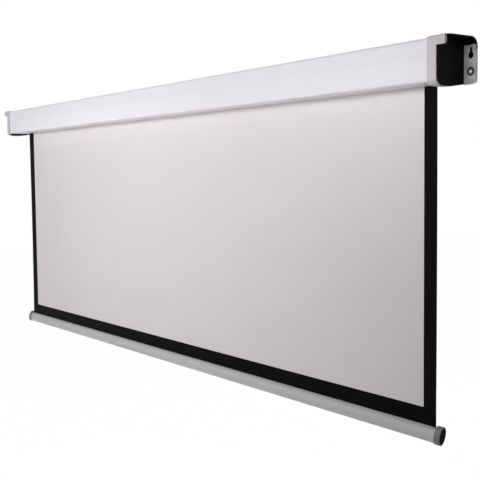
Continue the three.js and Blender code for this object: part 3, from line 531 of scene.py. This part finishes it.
MATERIALS = {
    "white_paint": powder_coat(),
    "white_plastic": moulded(
        "trim_plastic", (0.54, 0.498, 0.512), roughness=0.42, grain=1500.0, depth=0.05 * MM,
        coat=0.05, gloss=0.35,
    ),
    "black_plastic": moulded(
        "bracket_plastic", (0.0035, 0.0035, 0.0033), roughness=0.42, grain=1300.0, depth=0.06 * MM,
        gloss=0.04,
    ),
    "grey_plastic": moulded(
        "cap_plastic", (0.17, 0.165, 0.17), roughness=0.42, grain=1500.0, depth=0.05 * MM, gloss=0.3,
    ),
    "black_steel": moulded(
        "black_oxide", (0.004, 0.004, 0.0045), roughness=0.45, grain=900.0, depth=0.03 * MM,
        gloss=0.06,
    ),
    "dull_steel": moulded(
        "dull_steel", (0.085, 0.085, 0.083), roughness=0.45, grain=900.0, depth=0.03 * MM, gloss=0.3,
    ),
    "zinc_steel": zinc_plate(),
    "bright_steel": bright_steel(),
    "bar_aluminium": satin_aluminium(),
    "board": moulded("board_green", (0.02, 0.12, 0.05), roughness=0.5, grain=600.0, depth=0.04 * MM),
    "white_fabric": screen_cloth(
        "screen_white", (0.765, 0.72, 0.722), roughness=0.82, pitch=1.1 * MM, depth=0.04 * MM,
        gloss=0.3,
    ),
    "black_fabric": screen_cloth(
        "screen_black", (0.0055, 0.0045, 0.005), roughness=0.7, pitch=1.1 * MM, depth=0.04 * MM,
        gloss=0.02,
    ),
}


def paint(piece, slot, finish=None):
    """Gives a piece the finish of the record's slot, or another finish."""
    piece.data.materials.clear()
    piece.data.materials.append(MATERIALS[finish or slot])


# The sheet

def sheet_surface():
    """Front face of the sheet as a grid over X and Z.

    y = plane + belly * (wave * (broad wave + slanting wave) + curl * (closeness
    to a side edge) squared), and belly is 0 at both ends of the white area, so
    the sheet is flat there and its sides lean back a little in between.
    """
    across = np.linspace(-FABRIC_HALF, FABRIC_HALF, SHEET_COLUMNS)
    down = np.linspace(FABRIC_HIGH[2], BORDER_LOW[2], SHEET_ROWS)
    x, z = np.meshgrid(across, down, indexing="ij")
    fall = (FABRIC_HIGH[2] - z) / (FABRIC_HIGH[2] - IMAGE_BOTTOM)
    belly = np.sin(np.pi * np.clip(fall, 0.0, 1.0)) ** BELLY_POWER
    broad = np.sin(x * BROAD_X[0] + BROAD_X[1]) * np.sin(z * BROAD_Z[0] + BROAD_Z[1])
    slant = SLANT_SHARE * np.sin(x * SLANT[0] + z * SLANT[1])
    side = np.clip((np.abs(x) - FABRIC_HALF + CURL_WIDTH) / CURL_WIDTH, 0.0, 1.0)
    y = FABRIC_Y + belly * (SHEET_WAVE * (broad + slant) + EDGE_CURL * side ** 2)
    return np.stack([x, y, z], axis=-1)


def screen_sheet():
    """The whole cloth, white inside black borders, the same on both faces."""
    points = sheet_surface()
    mesh = grid_mesh("screen_sheet", points)
    centres = (points[:-1, :-1] + points[1:, 1:]) / 2
    black = (centres[..., 0] > IMAGE_HALF) | (centres[..., 0] < LEFT_BORDER_EXTRA - IMAGE_HALF)
    mesh.materials.append(MATERIALS["white_fabric"])
    mesh.materials.append(MATERIALS["black_fabric"])
    mesh.polygons.foreach_set("material_index", black.astype(np.int32).ravel())
    mesh.polygons.foreach_set("use_smooth", np.ones(len(mesh.polygons), dtype=bool))
    replaced = ["screen_fabric", "border_right", "border_left"]
    piece = linked("screen_sheet", mesh, None, replaced=replaced)
    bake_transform(piece)


def rounded_box(name, low, high, radius):
    """A box with rounded edges from its low to its high corner."""
    bm = bmesh.new()
    bmesh.ops.create_cube(bm, size=1.0)
    size = np.array(high) - np.array(low)
    centre = (np.array(high) + np.array(low)) / 2
    bmesh.ops.scale(bm, vec=size.tolist(), verts=bm.verts)
    bmesh.ops.translate(bm, vec=centre.tolist(), verts=bm.verts)
    bmesh.ops.bevel(bm, geom=bm.edges, offset=radius, segments=2, profile=0.5, affect="EDGES")
    mesh = bpy.data.meshes.new(name)
    bm.to_mesh(mesh)
    bm.free()
    return tidy_mesh(mesh)


def border_strip():
    """The black strip above the bar, welded over the sheet's lower end."""
    half = STRIP_THICKNESS / 2
    low = (-FABRIC_HALF, FABRIC_Y - half, BORDER_LOW[2])
    high = (FABRIC_HALF, FABRIC_Y + half, IMAGE_BOTTOM)
    mesh = rounded_box("border_bottom_strip", low, high, STRIP_ROUND)
    piece = linked("border_bottom_strip", mesh, "bottom_bar", replaced=["border_bottom"])
    paint(piece, "black_fabric")


# The bar, its ends and the levelling screws

def turned(profile):
    """Points of a body of revolution round Y: (radius cos t, along, radius sin t).

    Each profile row is (along, radius).
    """
    profile = np.array(profile)
    turn = np.linspace(0.0, 2 * np.pi, TURN_STEPS, endpoint=False)
    along = np.repeat(profile[:, :1], TURN_STEPS, axis=1)
    return np.stack([profile[:, 1:] * np.cos(turn), along, profile[:, 1:] * np.sin(turn)], axis=-1)


def arc_points(centre, radius, start, end, steps):
    """Points of a round arc between two angles in degrees: centre + radius (cos, sin)."""
    angle = np.radians(np.linspace(start, end, steps))
    return np.array(centre) + radius * np.column_stack([np.cos(angle), np.sin(angle)])


def rounded_corner(along, radius, start, end, steps):
    """A rounded corner of a cap's profile, as (x, inset), its centre one radius in."""
    return arc_points((along, radius), radius, start, end, steps)


def oval(angle, half_height, half_depth, centre=BAR_CENTRE):
    """Points of a leaning oval in (y, z); angle 0 is its upper end.

    across = half_depth sin(angle), along = half_height cos(angle), and both are
    turned by the bar's lean, so the upper end leans back to the sheet.
    """
    across = half_depth * np.sin(angle)
    along = half_height * np.cos(angle)
    y = centre[0] + across * math.cos(BAR_LEAN) + along * math.sin(BAR_LEAN)
    z = centre[1] - across * math.sin(BAR_LEAN) + along * math.cos(BAR_LEAN)
    return np.stack([y, z], axis=-1)


def open_arc(half_height, half_depth):
    """The part of a bar oval that the sheet's slot leaves, from one lip round to the other."""
    fine = np.linspace(-np.pi, np.pi, LIP_SEARCH_STEPS)
    near_slot = np.abs(oval(fine, half_height, half_depth)[:, 0] - FABRIC_Y) < BAR_SLOT_HALF
    lips = fine[near_slot & (np.abs(fine) < np.pi / 2)]
    turn = np.linspace(lips.max(), lips.min() + 2 * np.pi, BAR_STEPS)
    return oval(turn, half_height, half_depth)


def bar_tube():
    """The oval bar: its wall goes round the arc, open at the slot, and is drawn along X.

    Each step of the arc is a loop: along the outer face, over the chamfered end
    and back along the inner face. The first and last loop are the slot's lips.
    """
    outer = open_arc(BAR_HALF_HEIGHT, BAR_HALF_DEPTH)
    inner = open_arc(BAR_HALF_HEIGHT - BAR_WALL, BAR_HALF_DEPTH - BAR_WALL)
    chamfer = BAR_EDGE / BAR_WALL
    left, right = TUBE_LOW[0], TUBE_HIGH[0]
    depth = np.array([chamfer, 0.0, 0.0, chamfer, 1.0, 1.0])
    along = np.array([left, left + BAR_EDGE, right - BAR_EDGE, right, right, left])
    section = outer[:, None, :] + depth[None, :, None] * (inner - outer)[:, None, :]
    x = np.broadcast_to(along[None, :, None], (BAR_STEPS, len(along), 1))
    points = np.concatenate([x, section], axis=-1)
    mesh = tidy_mesh(grid_mesh("bar_tube_drawn", points, wrap_v=True, closed_ends=True))
    piece = linked("bar_tube_drawn", mesh, "bottom_bar", replaced=["bar_tube"])
    paint(piece, "bar_aluminium")


def oval_stack(name, profile, half_height, half_depth, centre):
    """Ovals stacked along X from profile points (x, inset), closed at both ends.

    Each oval is the given one drawn in by its inset all round.
    """
    turn = np.linspace(0.0, 2 * np.pi, OVAL_STEPS, endpoint=False)[None, :]
    inset = np.array(profile)[:, 1:]
    section = oval(turn, half_height - inset, half_depth - inset, centre)
    x = np.broadcast_to(np.array(profile)[:, :1, None], (len(profile), OVAL_STEPS, 1))
    points = np.concatenate([x, section], axis=-1)
    return tidy_mesh(grid_mesh(name, points, wrap_v=True, closed_ends=True))


def bar_end(side):
    """The grey cap on one end of the bar and the black plug in its face."""
    sign = {"right": 1, "left": -1}[side]
    start = TUBE_HIGH[0] + CAP_GAP
    end = CAP_HIGH[0]
    height = BAR_HALF_HEIGHT + CAP_RIM[0]
    depth = BAR_HALF_DEPTH + CAP_RIM[1]
    back = rounded_corner(start + CAP_BACK_ROUND, CAP_BACK_ROUND, 180, 270, 4)
    rim = rounded_corner(end - CAP_FACE_ROUND, CAP_FACE_ROUND, -90, 0, 8)
    profile = np.vstack([back, rim])
    profile[:, 0] *= sign
    cap = oval_stack(f"bar_cap_{side}_turned", profile, height, depth, CAP_CENTRE)
    paint(linked(cap.name, cap, "bottom_bar", replaced=[f"bar_cap_{side}"]), "grey_plastic")
    edge = rounded_corner(PLUG_FACE - PLUG_ROUND, PLUG_ROUND, -90, 0, 5)
    disc = np.vstack([[[end - CAP_FACE_ROUND, 0.0]], edge])
    disc[:, 0] *= sign
    height -= PLUG_RIM[0]
    depth -= PLUG_RIM[1]
    plug = oval_stack(f"bar_plug_{side}_turned", disc, height, depth, CAP_CENTRE)
    paint(linked(plug.name, plug, "bottom_bar", replaced=[f"bar_plug_{side}"]), "black_plastic")


def cross_recess(seat, crown, radius):
    """A pan head over a polar grid, with a cross-shaped recess in it.

    The crown is an ellipse's quarter, drawn round; inside the cross the surface
    drops by the recess's depth, falling off over a fifth of an arm's width.
    """
    arm, width, depth = SCREW_RECESS
    within = np.linspace(0.0, arm * RECESS_RINGS[0], 22)
    around = np.linspace(arm * RECESS_RINGS[1], radius, 12)
    turn = np.linspace(0.0, 2 * np.pi, TURN_STEPS, endpoint=False)
    r, t = np.meshgrid(np.concatenate([within, around]), turn, indexing="ij")
    x = r * np.cos(t)
    z = r * np.sin(t)
    dome = crown + (seat - crown) * (1 - np.sqrt(np.clip(1 - (r / radius) ** 2, 0.0, 1.0)))
    fall = width * RECESS_FALL
    bar_x = np.clip((width / 2 - np.abs(z)) / fall, 0, 1) * (np.abs(x) < arm)
    bar_z = np.clip((width / 2 - np.abs(x)) / fall, 0, 1) * (np.abs(z) < arm)
    inside = np.maximum(bar_x, bar_z)
    return np.stack([x, dome + inside * depth, z], axis=-1)


def level_screw(side, centre):
    """The levelling screw: its head with a cross recess, and its shank."""
    seat = BUSH_LOW[1] - SCREW_LIFT
    end = HEAD_HIGH[1]
    head = cross_recess(seat, HEAD_LOW[1], HEAD_RADIUS)
    shank = turned([[seat, HEAD_RADIUS], [seat, SCREW_SHANK], [end, SCREW_SHANK], [end, 0.0]])
    points = np.concatenate([head, shank]) + centre
    screw = tidy_mesh(grid_mesh(f"level_screw_{side}_head", points, wrap_v=True))
    paint(linked(screw.name, screw, "root", replaced=[f"level_screw_{side}"]), "bright_steel")


def level_bush(side, centre):
    """The flanged bush round the levelling screw, with a rounded flange and a dished face."""
    face, end = BUSH_LOW[1], BUSH_HIGH[1]
    flange = (BUSH_HIGH[2] - BUSH_LOW[2]) / 2
    back = face + FLANGE_THICKNESS
    bore = SCREW_SHANK + BORE_CLEARANCE
    middle = (face + FLANGE_ROUND, flange - FLANGE_ROUND)
    profile = np.vstack([
        [[end, bore], [face + DISH_DEPTH, bore], [face + DISH_LIP, DISH_INNER], [face, DISH_OUTER]],
        arc_points(middle, FLANGE_ROUND, 180, 90, 8),
        [[back, flange], [back, BUSH_BODY], [end, BUSH_BODY], [end, bore]],
    ])
    points = turned(profile) + centre
    bush = tidy_mesh(grid_mesh(f"level_bush_{side}_turned", points, wrap_v=True))
    piece = linked(bush.name, bush, "root", replaced=[f"level_bush_{side}"])
    paint(piece, "black_steel", "dull_steel")


def level_set(side):
    """The levelling screw and its bush in one hanger."""
    sign = {"right": 1, "left": -1}[side]
    centre = np.array([sign * HEAD_X, 0.0, (HEAD_LOW[2] + HEAD_HIGH[2]) / 2])
    level_screw(side, centre)
    level_bush(side, centre)


def foot_outline(side):
    """The outline (y, z) of an end trim's foot below the housing, from the frame."""
    source = frame["nodes"][f"end_trim_{side}"].data
    points = np.empty(3 * len(source.vertices))
    source.vertices.foreach_get("co", points)
    points = np.abs(points.reshape(-1, 3)) * (1, -1, -1)
    inner = points[points[:, 0] < TRIM_INNER + FACE_REACH]
    low = inner[inner[:, 2] < HOUSING_BOTTOM - FOOT_MARGIN, 1:]
    return np.unique(np.round(low, 6), axis=0)


def trim_foot(side):
    """The black crescent inside an end trim's bowed foot, under the housing.

    Its lower edge is the foot's own outline, raised by FOOT_INSET, and its upper
    edge is the housing's underside.
    """
    sign = {"right": 1, "left": -1}[side]
    lower = foot_outline(side) + (0.0, FOOT_INSET)
    top = np.full(len(lower), HOUSING_BOTTOM - FOOT_TOP_GAP)
    upper = np.column_stack([lower[:, 0], top])
    loop = np.concatenate([lower, upper[::-1]])
    x = sign * (TRIM_INNER - np.array([FOOT_THICKNESS + FOOT_GAP, FOOT_GAP]))
    section = np.broadcast_to(loop, (2, *loop.shape))
    along = np.broadcast_to(x[:, None, None], (2, len(loop), 1))
    points = np.concatenate([along, section], axis=-1)
    mesh = tidy_mesh(grid_mesh(f"trim_foot_{side}", points, wrap_v=True, closed_ends=True))
    paint(linked(mesh.name, mesh, "root"), "black_plastic")


def black_panel(name, low, high, side):
    """A thin black panel between two corners, given for the right end."""
    sign = {"right": 1, "left": -1}[side]
    ends = sorted([sign * low[0], sign * high[0]])
    mesh = rounded_box(f"{name}_{side}", (ends[0], *low[1:]), (ends[1], *high[1:]), PANEL_ROUND)
    paint(linked(mesh.name, mesh, "root"), "black_plastic")


def keyhole_shade_panel(side):
    """A thin black panel in the hanger's tray against the wall: painted shade, standing in for the
    wall's shade.

    A tongue of it goes on upwards behind the keyhole's slot.
    """
    # Painted shade: a black sheet standing in for the wall's shade seen through the keyhole
    front, back = PANEL_DEPTHS
    top = SKIRT_LOW - PANEL_GAP
    low = (HANGER_LOW[0] + PANEL_INSET, front, HANGER_LOW[2] + PANEL_RISE)
    high = (HANGER_HIGH[0] - PANEL_INSET, back, top)
    black_panel("keyhole_shade_panel", low, high, side)
    slot_x = HEAD_X - KEYHOLE_OFFSET
    low = (slot_x - TONGUE_HALF, front, top - TONGUE_OVERLAP)
    high = (slot_x + TONGUE_HALF, back, SKIRT_LOW + TONGUE_RISE)
    black_panel("keyhole_shade_tongue", low, high, side)


# Rigid pieces with their shape from the frame

# Each node's body, width of its rounded edges and steps round them
SKINS = {
    "housing": ("root", 0.25 * MM, 2),
    "end_trim_right": ("root", 0.45 * MM, 3),
    "end_trim_left": ("root", 0.45 * MM, 3),
    "end_plate_right": ("root", 0.5 * MM, 3),
    "end_plate_left": ("root", 0.5 * MM, 3),
    "hanger_right": ("root", 0.3 * MM, 2),
    "hanger_left": ("root", 0.3 * MM, 2),
    "cord_gland": ("root", 0.25 * MM, 2),
}


def dress_frame():
    """Gives every solid its finish, and rounded edges where it shows."""
    slots = {row["node"]: row["material_slot"] for row in frame["record"]["subparts"]}
    for node, (body, width, segments) in SKINS.items():
        paint(dressed(node, body, width, segments), slots[node])
    for node, piece in frame["nodes"].items():
        piece.data.materials.clear()
        piece.data.materials.append(MATERIALS[slots[node]])


# Studio

def aim(piece, place, target):
    """Puts a piece at a place with its -Z towards a target."""
    direction = (Vector(target) - Vector(place)).normalized()
    piece.location = place
    piece.rotation_euler = direction.to_track_quat("-Z", "Y").to_euler()


def soft_light(name, place, target, size, spread_degrees, power):
    """A rectangular softbox; a smaller spread is a grid in front of it."""
    data = bpy.data.lights.new(name, "AREA")
    data.shape = "RECTANGLE"
    data.size, data.size_y = size
    data.spread = math.radians(spread_degrees)
    data.energy = power
    lamp = bpy.data.objects.new(name, data)
    lamp.visible_camera = False
    bpy.context.scene.collection.objects.link(lamp)
    aim(lamp, place, target)


def studio_camera():
    """The fitted pinhole camera: its axes from yaw, pitch and roll."""
    forward = Vector((
        -math.sin(CAMERA_YAW) * math.cos(CAMERA_PITCH),
        math.cos(CAMERA_YAW) * math.cos(CAMERA_PITCH),
        math.sin(CAMERA_PITCH),
    ))
    level_right = forward.cross(Vector((0, 0, 1))).normalized()
    level_down = forward.cross(level_right)
    right = math.cos(CAMERA_ROLL) * level_right + math.sin(CAMERA_ROLL) * level_down
    down = -math.sin(CAMERA_ROLL) * level_right + math.cos(CAMERA_ROLL) * level_down
    data = bpy.data.cameras.new("camera")
    data.sensor_width = SENSOR
    data.lens = FOCAL_PIXELS * SENSOR / FRAME_PIXELS
    data.clip_end = VIEW_END
    camera = bpy.data.objects.new("camera", data)
    bpy.context.scene.collection.objects.link(camera)
    axes = Matrix((right, -down, -forward)).transposed().to_4x4()
    camera.matrix_world = Matrix.Translation(CAMERA_PLACE) @ axes
    bpy.context.scene.camera = camera


def studio_world():
    """A surround that shows as white and lights the screen softly from the front left.

    strength = low + (high - low) * smoothstep(cosine between the direction and AMBIENT_FROM)
    """
    world = bpy.data.worlds.new("studio")
    bpy.context.scene.world = world
    world.use_nodes = True
    tree = world.node_tree
    direction = add_node(tree, "ShaderNodeTexCoord").outputs["Generated"]
    facing = add_node(tree, "ShaderNodeVectorMath", [(direction, 0)], operation="DOT_PRODUCT")
    facing.inputs[1].default_value = AMBIENT_FROM
    soft = add_node(
        tree, "ShaderNodeMapRange", [(facing.outputs["Value"], "Value")],
        interpolation_type="SMOOTHSTEP",
    )
    soft.inputs["From Min"].default_value = AMBIENT_START
    soft.inputs["To Min"].default_value = AMBIENT_LOW
    soft.inputs["To Max"].default_value = AMBIENT_HIGH
    level = add_node(tree, "ShaderNodeMath", [
        (soft.outputs["Result"], 0),
        (seen_ray(tree), 1),
    ], operation="MAXIMUM")
    tree.nodes["Background"].inputs["Color"].default_value = (1.0, 1.0, 1.0, 1.0)
    tree.links.new(level.outputs["Value"], tree.nodes["Background"].inputs["Strength"])


def studio_ground():
    """A flat floor a little below the screen's lowest reach."""
    level = cad_box[0][2] - FLOOR_DROP
    half = FLOOR_SIZE / 2
    x, y = np.meshgrid([-half, half], [-half, half])
    mesh = grid_mesh("floor", np.stack([x, y, np.full(x.shape, level)], axis=-1))
    mesh.materials.append(studio_floor())
    floor = bpy.data.objects.new("floor", mesh)
    bpy.context.scene.collection.objects.link(floor)


studio_camera()
bpy.context.scene.view_settings.view_transform = "Standard"
studio_world()
studio_ground()
for lamp_name, lamp in LAMPS.items():
    soft_light(lamp_name, *lamp)

dress_frame()
screen_sheet()
border_strip()
bar_tube()
for end_side in ("right", "left"):
    bar_end(end_side)
    level_set(end_side)
    keyhole_shade_panel(end_side)
    trim_foot(end_side)
